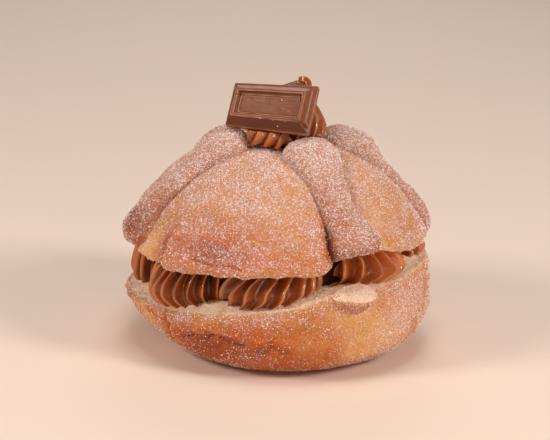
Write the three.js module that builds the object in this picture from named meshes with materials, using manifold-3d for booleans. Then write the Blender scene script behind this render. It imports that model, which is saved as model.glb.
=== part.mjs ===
// A filled pan de muerto: a round sweet loaf with four dough bones baked onto it, cut in two,
// filled with piped chocolate cream and topped with a cream rosette and a moulded piece of milk chocolate.
// Millimetres, +Z up. The origin is the middle of the flat spot that the loaf stands on; -Y is its front.
import * as THREE from "three";
import { mergeVertices } from "three/addons/utils/BufferGeometryUtils.js";
import Module from "manifold-3d";

const wasm = await Module();
wasm.setup();

const DEG = Math.PI / 180;
const TURN = 2 * Math.PI;

// ---- Driving dimensions, in millimetres; azimuths in degrees from +X, anticlockwise from above ----
const clearance = 0.3; // between pieces that rest on each other
const weld = 0.05; // corners closer than this are one corner

const heel = {
  contactRadius: 38, // flat spot on the table
  bulgeRadius: 58.5,
  bulgeHeight: 17,
  rimRadius: 57,
  cutHeight: 28.2, // height of the cut over the origin
  cutSlope: 0.155, // the knife rose towards +X
};

const crown = {
  radius: 57,
  rimHeight: 41.6, // over the origin
  rimSlope: 0.06, // this cut rose towards +X too
  height: 38.5,
  plumpness: 2.3, // exponents of the meridian: r to this power ...
  steepness: 0.9, // ... and the height to this one
  lean: 0.02, // the dome leans towards +X by this much of its height
  skirt: 9, // how far the side carries on below the rim height, before the cut trims it
  bulge: 2.2, // how far the dough swells between two bones
  hollowDepth: 4.5, // dip in the middle, where the rosette sits
  hollowRadius: 13,
};

// Where the upper half's rim leaves the plain cut: up under the front bone, down at the one on the right.
const rimWaves = [
  { azimuth: -55, rise: 6.5, spread: 17 },
  { azimuth: 13, rise: -4.5, spread: 11 },
];

// Each bone runs down a meridian. Places are arc lengths from the middle of the dome.
const bones = [
  { azimuth: 195, knobAt: 22, waistAt: 48, footAt: 66, end: 74, knob: 10.6, waist: 7, foot: 7.6 },
  { azimuth: -61, knobAt: 20, waistAt: 42, footAt: 64, end: 76, knob: 10, waist: 6.8, foot: 9.2 },
  { azimuth: 10, knobAt: 24, waistAt: 46, footAt: 67, end: 84, knob: 10, waist: 6, foot: 7.8 },
  { azimuth: 106, knobAt: 22, waistAt: 45, footAt: 66, end: 74, knob: 9.8, waist: 6.4, foot: 8.4 },
];
const boneRise = 0.74; // height over the dough as a share of the half width
const boneStart = 10; // arc length at which the bones begin
const boneRoot = 5; // how deep a bone sits in the dough

// The stump that the knife left of the front bone on the lower half.
const nub = {
  azimuth: -61,
  halfWidth: 8.4,
  halfDepth: 5.4,
  drop: 6.5,
  faceTilt: 40,
  reach: 57.5,
  raise: 0.9,
};

// Piped drops of cream round the rim, from the left side of the front to the right side.
const drops = [
  { azimuth: 176, ring: 40, radius: 17.5, twist: 4 },
  { azimuth: 222, ring: 40.5, radius: 18, twist: -14 },
  { azimuth: 266, ring: 37.5, radius: 20, twist: 22 },
  { azimuth: 320, ring: 40.3, radius: 17, twist: 18 },
  { azimuth: 5, ring: 39.5, radius: 16.5, twist: 6 },
  { azimuth: 49, ring: 38.5, radius: 17.5, twist: 16 },
  { azimuth: 92, ring: 38.5, radius: 17.5, twist: -10 },
  { azimuth: 134, ring: 38.5, radius: 17.5, twist: 12 },
];
const piping = { ridges: 14, grooveLow: 0.12, grooveHigh: 0.24, foot: 0.88, neck: 0.74, bulgeAt: 0.36 };
const creamCoreRadius = 42;

const rosette = {
  middleX: 3.1,
  middleY: 0.5,
  baseHeight: 76.5,
  coilRadius: 9,
  ropeRadius: 6.6,
  tail: 0.66, // share of the rope's radius where it starts, at the front
  coilStart: -62,
  coilSweep: -318,
  ridges: 6,
  twistPerTurn: 2.4,
  groove: 0.15,
  peakRadius: 10.5,
  peakHeight: 25.3,
  peakLean: [5, 1.5],
};

const plate = {
  length: 33.6,
  width: 18.6,
  back: 2, // thickness of the flat base behind the widest line
  frame: 3.4, // height of the raised frame over the widest line
  panel: 2.2,
  frameInset: [2.4, 3.2],
  frameBand: 1.1,
  panelInset: [4.2, 5],
  lineInset: [5, 5.8], // thin raised line inside the panel's edge
  lineWidth: 0.5,
  lineHeight: 0.35,
  leanBack: 34.5, // from upright
  roll: -2.3,
  yaw: -21.5,
  middle: [-3.9, -11.5, 93],
};

// ---- Building blocks ----

// A closed skin over rings of equal length, from a first pole to a last pole.
// The rings run anticlockwise when the last pole points at the viewer.
function skin(firstPole, rings, lastPole) {
  const count = rings[0].length;
  const points = [firstPole, ...rings.flat(), lastPole];
  const last = points.length - 1;
  const at = (ring, k) => 1 + ring * count + (k % count);
  const faces = [];
  for (let k = 0; k < count; k++) {
    faces.push(0, at(0, k + 1), at(0, k));
    for (let ring = 1; ring < rings.length; ring++) {
      faces.push(at(ring - 1, k), at(ring - 1, k + 1), at(ring, k + 1));
      faces.push(at(ring - 1, k), at(ring, k + 1), at(ring, k));
    }
    faces.push(last, at(rings.length - 1, k), at(rings.length - 1, k + 1));
  }
  const geometry = new THREE.BufferGeometry();
  geometry.setAttribute("position", new THREE.Float32BufferAttribute(points.flat(), 3));
  geometry.setIndex(faces);
  return geometry;
}

function solidOf(geometry) {
  const merged = mergeVertices(geometry, 1e-4);
  return new wasm.Manifold(
    new wasm.Mesh({
      numProp: 3,
      vertProperties: merged.attributes.position.array,
      triVerts: new Uint32Array(merged.index.array),
    }),
  );
}

// The mesh of a solid. Corners nearer than the weld become one, and the slivers between them go.
function geometryOf(solid) {
  const mesh = solid.getMesh();
  const geometry = new THREE.BufferGeometry();
  geometry.setAttribute("position", new THREE.BufferAttribute(mesh.vertProperties, 3));
  geometry.setIndex(new THREE.BufferAttribute(mesh.triVerts, 1));
  const welded = mergeVertices(geometry, weld);
  const corners = Array.from(welded.index.array);
  const kept = [];
  for (let i = 0; i < corners.length; i += 3) {
    const [a, b, c] = corners.slice(i, i + 3);
    if (a !== b && b !== c && c !== a) kept.push(a, b, c);
  }
  return welded.setIndex(kept);
}

const mix = (a, b, t) => a + (b - a) * t;
const bell = (x, middle, spread) => Math.exp(-(((x - middle) / spread) ** 2));
// Sharp crests and hollow valleys round a star tip's cream: 0 on each crest, 1 in the valleys.
const ridge = (count, a) => Math.abs(Math.sin((count / 2) * a)) ** 0.8;
const circle = (count, pointAt) => Array.from({ length: count }, (_, k) => pointAt((TURN * k) / count));
const steps = (count, at) => Array.from({ length: count }, (_, i) => at(i));

// Angle from b to a, in radians, brought between -PI and PI.
const turnFrom = (a, b) => Math.atan2(Math.sin(a - b), Math.cos(a - b));

// The loaf isn't quite round: its radius swings by a percent or two.
const outOfRound = (a) => 1 + 0.01 * Math.cos(2 * a + 0.9) + 0.007 * Math.cos(3 * a - 1.3);

// ---- The two cuts ----

const lowerCut = (x) => heel.cutHeight + heel.cutSlope * x;

function upperCut(x, y) {
  const share = Math.min(1, Math.hypot(x, y) / crown.radius) ** 3;
  let z = crown.rimHeight + crown.rimSlope * x;
  for (const wave of rimWaves) {
    const away = turnFrom(Math.atan2(y, x), wave.azimuth * DEG) / DEG;
    z += wave.rise * bell(away, 0, wave.spread) * share;
  }
  return z;
}

// ---- Lower half of the loaf, with the stump of the front bone ----

const around = { loaf: 60, bone: 12, drop: 3 * piping.ridges, rope: 3 * rosette.ridges };

function heelWall(rise) {
  // rise 0 is the edge of the flat spot, 1 the widest line, 2 the rim
  if (rise <= 1) {
    const a = (rise * Math.PI) / 2;
    const out = heel.bulgeRadius - heel.contactRadius;
    return [heel.contactRadius + out * Math.sin(a) ** 1.15, heel.bulgeHeight * (1 - Math.cos(a))];
  }
  const t = rise - 1;
  return [heel.bulgeRadius - (heel.bulgeRadius - heel.rimRadius) * t ** 2, t];
}

function makeHeel() {
  const wallRises = [0, 0.2, 0.4, 0.6, 0.8, 1, 1.33, 1.67, 2];
  const flat = circle(around.loaf, (a) => [20 * Math.cos(a), 20 * Math.sin(a), 0]);
  const wall = wallRises.map((rise) =>
    circle(around.loaf, (a) => {
      const [radius, height] = heelWall(rise);
      const r = radius * outOfRound(a);
      const x = r * Math.cos(a);
      const z = rise <= 1 ? height : mix(heel.bulgeHeight, lowerCut(x), height);
      return [x, r * Math.sin(a), z];
    }),
  );
  const cut = circle(around.loaf, (a) => {
    const r = 30;
    return [r * Math.cos(a), r * Math.sin(a), lowerCut(r * Math.cos(a))];
  });
  const body = solidOf(skin([0, 0, 0], [flat, ...wall, cut], [0, 0, lowerCut(0)]));
  return geometryOf(body.add(makeNub()));
}

// A half lens of dough: its flat face is where the knife went through the bone.
function makeNub() {
  const out = new THREE.Vector3(Math.cos(nub.azimuth * DEG), Math.sin(nub.azimuth * DEG), 0);
  const side = new THREE.Vector3(-out.y, out.x, 0);
  const up = new THREE.Vector3(0, 0, 1);
  const [tiltSin, tiltCos] = [Math.sin(nub.faceTilt * DEG), Math.cos(nub.faceTilt * DEG)];
  const faceNormal = out.clone().multiplyScalar(tiltSin).addScaledVector(up, tiltCos);
  const faceDown = out.clone().multiplyScalar(tiltCos).addScaledVector(up, -tiltSin);
  const middle = out.clone().multiplyScalar(nub.reach);
  middle.z = lowerCut(middle.x) + nub.raise;
  const place = (u, v, w) =>
    middle
      .clone()
      .addScaledVector(side, u)
      .addScaledVector(faceDown, v)
      .addScaledVector(faceNormal, w)
      .toArray();
  const ring = (scale, depth) =>
    circle(20, (a) => {
      const [u, v] = [nub.halfWidth * Math.cos(a), nub.halfDepth * Math.sin(a)];
      return place(scale * u, scale * v, -depth);
    });
  const levels = [0.96, 0.83, 0.62, 0.35].map((scale) => ring(scale, nub.drop * Math.sqrt(1 - scale ** 2)));
  return solidOf(skin(place(0, 0, 0), [ring(1, 0), ...levels], place(0, 0, -nub.drop)));
}

// ---- Upper half of the loaf: a dome with four bones ----

// Meridian of the dome: radius and height for evenly spaced arc lengths.
const meridian = (() => {
  const samples = steps(401, (i) => {
    const a = (i / 400) * (Math.PI / 2);
    return [
      crown.radius * Math.sin(a) ** (2 / crown.plumpness),
      crown.height * Math.cos(a) ** (2 * crown.steepness),
    ];
  });
  const lengths = [0];
  for (let i = 1; i < samples.length; i++) {
    const [r0, z0] = samples[i - 1];
    const [r1, z1] = samples[i];
    lengths.push(lengths[i - 1] + Math.hypot(r1 - r0, z1 - z0));
  }
  const total = lengths[lengths.length - 1];
  const at = (arc) => {
    const i = Math.max(1, lengths.findIndex((length) => length >= Math.min(arc, total)));
    const t = (Math.min(arc, total) - lengths[i - 1]) / (lengths[i] - lengths[i - 1]);
    const [r0, z0] = samples[i - 1];
    const [r1, z1] = samples[i];
    const run = Math.hypot(r1 - r0, z1 - z0);
    return { r: mix(r0, r1, t), z: mix(z0, z1, t), outward: (z0 - z1) / run, upward: (r1 - r0) / run };
  };
  return { total, at };
})();

// How much the dough swells at an azimuth: 1 in the middle between two bones, 0 beside one.
function swell(azimuth) {
  const nearest = Math.min(...bones.map((bone) => Math.abs(turnFrom(azimuth, bone.azimuth * DEG))));
  return Math.sin(Math.min(1, nearest / (40 * DEG)) * (Math.PI / 2));
}

// A point over the dome, a given height off the plain dough.
function domePoint(azimuth, arc, lift) {
  const m = meridian.at(arc);
  const over = Math.max(0, arc - meridian.total); // past the rim a bone hangs straight down
  const r = m.r * outOfRound(azimuth) + m.outward * lift;
  const x = r * Math.cos(azimuth);
  const y = r * Math.sin(azimuth);
  const hollow = crown.hollowDepth * bell(m.r, 0, crown.hollowRadius);
  const z = crown.rimHeight + m.z - hollow + m.upward * lift - over;
  return [x + crown.lean * (z - crown.rimHeight), y, z];
}

function makeDome() {
  const count = 13;
  const arcs = steps(count, (i) => (meridian.total * (i + 1)) / count);
  arcs.push(meridian.total + crown.skirt);
  arcs.reverse();
  const rings = arcs.map((arc) =>
    circle(around.loaf, (a) => {
      const fade = Math.sin(Math.min(1, (arc / meridian.total) * 1.6) * (Math.PI / 2));
      return domePoint(a, arc, crown.bulge * swell(a) * fade);
    }),
  );
  return solidOf(skin([0, 0, crown.rimHeight - crown.skirt], rings, domePoint(0, 0, 0)));
}

// Half width of a bone along its arc: knob, waist and foot, rounded off at both ends.
function boneHalfWidth(bone, arc) {
  const knob = (bone.knob - bone.waist) * bell(arc, bone.knobAt, 11);
  const foot = (bone.foot - bone.waist) * bell(arc, bone.footAt, 10);
  return bone.waist + knob + foot;
}

// Rounds a bone off over a cap at each end: 1 along its length, 0 at its tips.
function boneEnds(bone, arc) {
  const cap = 7;
  const fromEnd = Math.min(arc - boneStart, bone.end - arc);
  return fromEnd >= cap ? 1 : Math.sqrt(Math.max(0, 1 - (1 - fromEnd / cap) ** 2));
}

function makeBone(bone) {
  const azimuth = bone.azimuth * DEG;
  const section = (arc) =>
    circle(around.bone, (a) => {
      const half = boneHalfWidth(bone, arc) * boneEnds(bone, arc);
      const across = half * Math.cos(a);
      const lift = Math.sin(a) * (Math.sin(a) > 0 ? half * boneRise : boneRoot * boneEnds(bone, arc));
      const point = domePoint(azimuth, arc, lift);
      return [point[0] - across * Math.sin(azimuth), point[1] + across * Math.cos(azimuth), point[2]];
    });
  const count = 15;
  const arcs = steps(count, (i) => {
    const t = (i + 0.5) / count;
    return mix(boneStart, bone.end, 0.5 - 0.5 * Math.cos(Math.PI * mix(0.06, 0.94, t)));
  });
  return solidOf(
    skin(domePoint(azimuth, boneStart, 0), arcs.map(section), domePoint(azimuth, bone.end, 0)),
  );
}

// Everything below the upper cut, so that a bone can be trimmed to it.
function belowUpperCut() {
  const ring = (r, level) =>
    circle(around.loaf, (a) => {
      const [x, y] = [r * Math.cos(a), r * Math.sin(a)];
      return [x, y, level ?? upperCut(x, y)];
    });
  const floor = -20;
  const rings = [ring(80, floor), ...[80, 57, 45, 30].map((r) => ring(r))];
  return solidOf(skin([0, 0, floor], rings, [0, 0, crown.rimHeight]));
}

function makeCrown() {
  let solid = makeDome();
  for (const bone of bones) solid = solid.add(makeBone(bone));
  return solid.subtract(belowUpperCut());
}

// ---- Chocolate cream between the halves ----

// One ridged drop, squashed between the two cuts.
function makeDrop(drop) {
  const a0 = drop.azimuth * DEG;
  const [cx, cy] = [drop.ring * Math.cos(a0), drop.ring * Math.sin(a0)];
  const ring = (t) =>
    circle(around.drop, (a) => {
      const shoulder =
        t < piping.bulgeAt
          ? mix(1, piping.foot, (1 - t / piping.bulgeAt) ** 2)
          : mix(1, piping.neck, ((t - piping.bulgeAt) / (1 - piping.bulgeAt)) ** 2);
      const twist = drop.twist * DEG * Math.sin(Math.PI * 0.8 * t);
      const groove = mix(piping.grooveLow, piping.grooveHigh, t) * ridge(piping.ridges, a);
      const r = drop.radius * shoulder * (1 - groove);
      const [x, y] = [cx + r * Math.cos(a + a0 + twist), cy + r * Math.sin(a + a0 + twist)];
      return [x, y, mix(lowerCut(x) + clearance, upperCut(x, y) + 1, t)];
    });
  const bottom = [cx, cy, lowerCut(cx) + clearance];
  const top = [cx, cy, upperCut(cx, cy) + 1];
  return solidOf(skin(bottom, [0, 0.2, 0.4, 0.6, 0.8, 1].map(ring), top));
}

function makeCream() {
  const ring = (t) =>
    circle(32, (a) => {
      const [x, y] = [creamCoreRadius * Math.cos(a), creamCoreRadius * Math.sin(a)];
      return [x, y, mix(lowerCut(x) + clearance, upperCut(x, y) + 1, t)];
    });
  const [bottom, top] = [lowerCut(0) + clearance, crown.rimHeight + 1];
  let solid = solidOf(skin([0, 0, bottom], [ring(0), ring(1)], [0, 0, top]));
  for (const drop of drops) solid = solid.add(makeDrop(drop));
  return geometryOf(solid.intersect(belowUpperCut().translate([0, 0, -clearance])));
}

// ---- Rosette and chocolate piece on top ----

// The rope of cream that makes the rosette's foot: one coil, ridged and twisted.
function makeCoil() {
  const count = 22;
  const section = (i) => {
    const t = (i + 0.5) / count;
    const a0 = (rosette.coilStart + rosette.coilSweep * t) * DEG;
    const thickness = rosette.ropeRadius * mix(rosette.tail, 1, Math.min(1, t * 2.5));
    const taper = Math.sqrt(Math.min(1, t * 8, (1 - t) * 10));
    return circle(around.rope, (a) => {
      const turned = a + TURN * rosette.twistPerTurn * t;
      const groove = rosette.groove * ridge(rosette.ridges, turned);
      const r = thickness * taper * (1 - groove);
      const reach = rosette.coilRadius + r * Math.cos(a);
      return [
        rosette.middleX + reach * Math.cos(a0),
        rosette.middleY + reach * Math.sin(a0),
        rosette.baseHeight + thickness + r * Math.sin(a),
      ];
    });
  };
  const tip = (degrees, share) => [
    rosette.middleX + rosette.coilRadius * Math.cos(degrees * DEG),
    rosette.middleY + rosette.coilRadius * Math.sin(degrees * DEG),
    rosette.baseHeight + rosette.ropeRadius * share,
  ];
  const first = tip(rosette.coilStart, rosette.tail);
  const last = tip(rosette.coilStart + rosette.coilSweep, 1);
  return solidOf(skin(first, steps(count, section), last));
}

// The ridged peak that stands in the coil.
function makePeak() {
  const count = 9;
  const [leanX, leanY] = rosette.peakLean;
  const ring = (i) =>
    circle(around.rope, (a) => {
      const t = i / count;
      const groove = rosette.groove * ridge(rosette.ridges, a);
      const r = rosette.peakRadius * Math.sqrt(1 - t ** 2) * (1 - 0.35 * t) * (1 - groove);
      const turned = a + 1.4 * t;
      return [
        rosette.middleX + leanX * t ** 2 + r * Math.cos(turned),
        rosette.middleY + leanY * t + r * Math.sin(turned),
        rosette.baseHeight + rosette.peakHeight * t,
      ];
    });
  const bottom = [rosette.middleX, rosette.middleY, rosette.baseHeight];
  const top = [rosette.middleX + leanX, rosette.middleY + leanY, rosette.baseHeight + rosette.peakHeight];
  return solidOf(skin(bottom, steps(count, ring), top));
}

function platePlacement() {
  const turn = new THREE.Euler((90 - plate.leanBack) * DEG, plate.roll * DEG, plate.yaw * DEG, "ZYX");
  return new THREE.Matrix4().makeRotationFromEuler(turn).setPosition(...plate.middle);
}

// The moulded piece lies on its back here: outline rings from the back up to the framed face.
function makePlate(grow = 0) {
  const ring = ([insetU, insetV], height) => {
    const [u, v] = [plate.length / 2 - insetU + grow, plate.width / 2 - insetV + grow];
    return [[-u, -v], [u, -v], [u, v], [-u, v]].map(([x, y]) => [x, y, height]);
  };
  const band = plate.frameInset.map((inset) => inset + plate.frameBand);
  const rings = [
    ring([0.5, 0.5], -plate.back - grow),
    ring([0, 0], -plate.back + 0.6),
    ring([0, 0], 0),
    ring(plate.frameInset.map((inset) => 0.6 * inset), 0.35 * plate.frame),
    ring(plate.frameInset, plate.frame + grow),
    ring(band, plate.frame + grow),
    ring(plate.panelInset, plate.panel + grow),
    ring(plate.lineInset, plate.panel + grow),
    ring(plate.lineInset.map((inset) => inset + 0.2), plate.panel + plate.lineHeight + grow),
    ring(plate.lineInset.map((inset) => inset + plate.lineWidth), plate.panel + plate.lineHeight + grow),
    ring(plate.lineInset.map((inset) => inset + plate.lineWidth + 0.2), plate.panel + grow),
  ];
  const [bottom, top] = [[0, 0, -plate.back - grow], [0, 0, plate.panel + grow]];
  return solidOf(skin(bottom, rings, top).applyMatrix4(platePlacement()));
}

function makeRosette(crownSolid) {
  const lifted = crownSolid.translate([0, 0, clearance]);
  return geometryOf(makeCoil().add(makePeak()).subtract(makePlate(clearance)).subtract(lifted));
}

// ---- Assembly ----

const finish = {
  crust: new THREE.MeshStandardMaterial({ color: 0xd69a66, roughness: 0.75, metalness: 0 }),
  cream: new THREE.MeshStandardMaterial({ color: 0x6e3a1e, roughness: 0.35, metalness: 0 }),
  chocolate: new THREE.MeshStandardMaterial({ color: 0x7d4b33, roughness: 0.4, metalness: 0 }),
};

function piece(name, geometry, material) {
  const mesh = new THREE.Mesh(geometry, material);
  mesh.name = name;
  return mesh;
}

const crownSolid = makeCrown();
const plateSolid = makePlate();

const loaf = new THREE.Group();
loaf.add(
  piece("lower_half", makeHeel(), finish.crust),
  piece("upper_half", geometryOf(crownSolid.subtract(makePlate(clearance))), finish.crust),
  piece("cream_filling", makeCream(), finish.cream),
  piece("cream_rosette", makeRosette(crownSolid), finish.cream),
  piece("chocolate_piece", geometryOf(plateSolid), finish.chocolate),
);

export default loaf;
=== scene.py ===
import math

import bpy
import numpy as np
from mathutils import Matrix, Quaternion, Vector


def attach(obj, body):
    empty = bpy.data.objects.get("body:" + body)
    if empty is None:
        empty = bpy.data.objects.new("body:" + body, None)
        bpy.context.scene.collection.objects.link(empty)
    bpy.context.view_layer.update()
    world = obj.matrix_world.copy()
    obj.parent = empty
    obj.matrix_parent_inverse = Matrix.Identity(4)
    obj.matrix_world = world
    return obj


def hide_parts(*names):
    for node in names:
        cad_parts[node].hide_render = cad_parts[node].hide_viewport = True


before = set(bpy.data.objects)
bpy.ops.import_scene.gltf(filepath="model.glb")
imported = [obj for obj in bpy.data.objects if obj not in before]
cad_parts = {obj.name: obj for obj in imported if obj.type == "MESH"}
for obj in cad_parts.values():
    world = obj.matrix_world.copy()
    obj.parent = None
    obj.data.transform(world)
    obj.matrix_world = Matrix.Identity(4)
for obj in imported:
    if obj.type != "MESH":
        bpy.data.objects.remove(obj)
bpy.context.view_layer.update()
deg = math.pi / 180
turn = 2 * math.pi
print("frame loaded:", ", ".join(sorted(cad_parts)))

towardsFront = np.array([0, -1.0, 0])
upwards = np.array([0, 0, 1.0])
primes = np.array([73856093, 19349663, 83492791])  # they spread a lattice's cells over a table
tableSize = 8192


# a where t is 0, b where it is 1, and straight in between
def mix(a, b, t):
    return a + (b - a) * t


# x held between 0 and 1
def clamp(x):
    return np.clip(x, 0, 1)


# rises from 0 to 1 between two values, level at both
def smooth(low, high, x):
    t = clamp((x - low) / (high - low))
    return t * t * (3 - 2 * t)


# exp(-((x - middle) / spread)^2)
def bell(x, middle, spread):
    return np.exp(-((x - middle) / spread) ** 2)


# the angle from b to a, between -pi and pi
def turnFrom(a, b):
    return np.arctan2(np.sin(a - b), np.cos(a - b))


# a bell round one azimuth, its middle and its spread in degrees
def sector(azimuth, middle, spread):
    return bell(turnFrom(azimuth, middle * deg) / deg, 0, spread)


# this many even steps round a circle
def circle(count):
    return turn * np.arange(count) / count


# places from x, y and z, each spread over all of them
def xyz(x, y, z):
    return np.stack(np.broadcast_arrays(x, y, z), -1)


# each row divided by its length
def unit(rows):
    return rows / np.linalg.norm(rows, axis=1, keepdims=True)


# value noise: numbers from -1 to 1 drawn for a cubic lattice of this size, blended in between
def lumps(points, size, seed):
    draw = np.random.default_rng(seed).uniform(-1, 1, tableSize)
    place = points / size + 1000  # keeps the cells' numbers above 0
    cell = np.floor(place).astype(np.int64)
    part = place - cell
    part = part * part * (3 - 2 * part)
    total = np.zeros(points.shape[:-1])
    for corner in np.ndindex(2, 2, 2):
        at = cell + corner
        pick = np.bitwise_xor.reduce(at * primes, -1) & (tableSize - 1)
        weight = np.prod(np.where(np.array(corner) == 1, part, 1 - part), axis=-1)
        total += draw[pick] * weight
    return total


# lumps at this size, half of it and a quarter, each half as strong as the one before
def rough(points, size, seed):
    total = lumps(points, size, seed) + lumps(points, size / 2, seed + 1) / 2
    return total + lumps(points, size / 4, seed + 2) / 4


# rings[i, k] closed by a pole in the middle of the first ring and of the last, with a value at each
# corner for each named attribute; they run anticlockwise when the last pole points at you
def closedSkin(rings, attributes):
    rows, count = rings.shape[:2]
    at = 1 + np.arange(rows * count).reshape(rows, count)
    ahead = np.roll(at, -1, 1)
    quads = np.stack([at[:-1], ahead[:-1], ahead[1:], at[1:]], -1).reshape(-1, 4)
    first = np.stack([0 * at[0], ahead[0], at[0]], -1)
    last = np.stack([0 * at[0] + rows * count + 1, at[-1], ahead[-1]], -1)

    def corners(field, *size):
        return np.concatenate([field[:1].mean(1), field.reshape(-1, *size), field[-1:].mean(1)])

    return {
        "points": corners(rings, 3),
        "quads": quads,
        "triangles": np.concatenate([first, last]),
        "values": {name: corners(field) for name, field in attributes.items()},
    }


# bands of rings as one skin, where each value has a grid or one number for each band
def bandedSkin(bands, values):
    shapes = [band.shape[:2] for band in bands]
    fields = {
        name: np.concatenate([np.broadcast_to(part, shape) for part, shape in zip(parts, shapes)])
        for name, parts in values.items()
    }
    return closedSkin(np.concatenate(bands), fields)


# a new object, linked to the scene
def addObject(name, data):
    made = bpy.data.objects.new(name, data)
    bpy.context.scene.collection.objects.link(made)
    return made


# several skins as one mesh object, in metres
def makePiece(name, skins, material, node):
    offsets = np.cumsum([0] + [len(skin["points"]) for skin in skins])
    faces = []
    for skin, offset in zip(skins, offsets):
        faces += (skin["quads"] + offset).tolist() + (skin["triangles"] + offset).tolist()
    mesh = bpy.data.meshes.new(name)
    mesh.from_pydata(np.concatenate([skin["points"] for skin in skins]) * 0.001, [], faces)
    mesh.polygons.foreach_set("use_smooth", np.ones(len(mesh.polygons), bool))
    for key in skins[0]["values"]:
        field = np.concatenate([skin["values"][key] for skin in skins]).astype(np.float32)
        mesh.attributes.new(key, "FLOAT", "POINT").data.foreach_set("value", field)
    mesh.materials.append(material)
    mesh.update()
    piece = addObject(name, mesh)
    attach(piece, "root")
    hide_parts(node)
    triangles = sum(2 * len(skin["quads"]) + len(skin["triangles"]) for skin in skins)
    print("made", name, "with", triangles, "triangles")
    return piece


# sRGB 0-255 to the linear colour that a socket takes
def tint(red, green, blue):
    parts = [c / 255 for c in (red, green, blue)]
    return [c / 12.92 if c < 0.04045 else ((c + 0.055) / 1.055) ** 2.4 for c in parts] + [1.0]


# a socket that can be reckoned with: an operator adds the Math node of its name
class Wire:
    def __init__(self, finish, socket):
        self.finish = finish
        self.socket = socket

    def maths(self, operation, *others, swapped=False):
        terms = [*others, self] if swapped else [self, *others]
        return self.finish.node("ShaderNodeMath", {"operation": operation}, dict(enumerate(terms)))

    def __add__(self, other):
        return self.maths("ADD", other)

    def __sub__(self, other):
        return self.maths("SUBTRACT", other)

    def __rsub__(self, other):
        return self.maths("SUBTRACT", other, swapped=True)

    def __mul__(self, other):
        return self.maths("MULTIPLY", other)

    def __pow__(self, other):
        return self.maths("POWER", other)

    __radd__ = __add__
    __rmul__ = __mul__

    # 0 below low, 1 above high and smooth between; low may be the larger one
    def between(self, low, high):
        first, last = (0.0, 1.0) if low < high else (1.0, 0.0)
        sockets = {"Value": self, 1: min(low, high), 2: max(low, high), 3: first, 4: last}
        return self.finish.node("ShaderNodeMapRange", {"interpolation_type": "SMOOTHSTEP"}, sockets)


# a material being put together
class Finish:
    def __init__(self, name):
        self.material = bpy.data.materials.new(name)
        self.material.use_nodes = True
        self.tree = self.material.node_tree
        self.tree.nodes.clear()
        self.place = self.node("ShaderNodeTexCoord", output="Object")

    def node(self, kind, settings=None, sockets=None, output=0):
        made = self.tree.nodes.new(kind)
        for name, value in (settings or {}).items():
            setattr(made, name, value)
        for key, value in (sockets or {}).items():
            if isinstance(value, Wire):
                self.tree.links.new(value.socket, made.inputs[key])
            else:
                made.inputs[key].default_value = value
        return Wire(self, made.outputs[output])

    def attribute(self, name):
        return self.node("ShaderNodeAttribute", {"attribute_name": name}, output="Fac")

    # noise whose lumps are about this many millimetres across
    def noise(self, size, detail=2.0, roughness=0.5, place=None):
        sockets = {
            "Vector": place or self.place,
            "Scale": 1000 / size,
            "Detail": detail,
            "Roughness": roughness,
        }
        return self.node("ShaderNodeTexNoise", None, sockets, "Fac")

    # round cells of this many mm: how far from a cell's middle, and a number of the cell's own
    def cells(self, size, seed=0.0):
        moved = {0: self.place, 1: (seed, seed, seed)}
        offset = self.node("ShaderNodeVectorMath", {"operation": "ADD"}, moved)
        sockets = {"Vector": offset, "Scale": 1000 / size, "Randomness": 1.0}
        distance = self.node("ShaderNodeTexVoronoi", None, sockets, "Distance")
        colour = Wire(self, distance.socket.node.outputs["Color"])
        own = self.node("ShaderNodeSeparateColor", None, {"Color": colour}, "Red")
        return distance, own

    def blend(self, factor, first, second, kind="MIX"):
        settings = {"data_type": "RGBA", "blend_type": kind, "clamp_factor": True}
        return self.node("ShaderNodeMix", settings, {0: factor, 6: first, 7: second}, 2)

    def bump(self, height, depth, **under):
        sockets = {"Strength": 1.0, "Distance": depth * 0.001, "Height": height, **under}
        return self.node("ShaderNodeBump", None, sockets)

    def shade(self, sockets):
        surface = self.node("ShaderNodeBsdfPrincipled", None, sockets)
        ending = self.tree.nodes.new("ShaderNodeOutputMaterial")
        self.tree.links.new(surface.socket, ending.inputs["Surface"])
        return self.material


loaf = {
    "contactRadius": 38.0,  # flat spot on the table
    "bulgeRadius": 58.5,
    "bulgeHeight": 17.0,
    "rimRadius": 57.0,
    "cutHeight": 28.2,  # where the knife went through, over the origin
    "cutSlope": 0.155,
    "crownRadius": 57.0,
    "crownRim": 41.6,
    "crownSlope": 0.06,
    "crownHeight": 38.5,
    "foldRadius": 54.0,  # azimuths in the crown's folds are lengths at this radius
    "upperWall": 13.0,  # from the widest line up to the rim
    "setIn": 6.2,  # how far the low wall stands back at the left of the front
    "foldAt": -135.6,  # azimuth of the fold in the front panel
    "lap": 2.4,  # how far the dough right of the fold laps over
    "plumpness": 2.3,
    "lean": 0.02,
    "hollowDepth": 4.5,
    "hollowRadius": 13.0,
    "swell": 2.2,  # how far the dough stands out between two bones
    "columns": 640,  # corners round a half
}

# the upper rim leaves the plain cut here: azimuth, rise, spread to each side, steepness on the left
rimWaves = [(-55, 6.5, 14.5, 17, 6), (11, -6.0, 12, 12, 2)]
# and the lower rim here
lipWaves = [(-69, 3.0, 8), (-150, 1.0, 10)]

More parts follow.
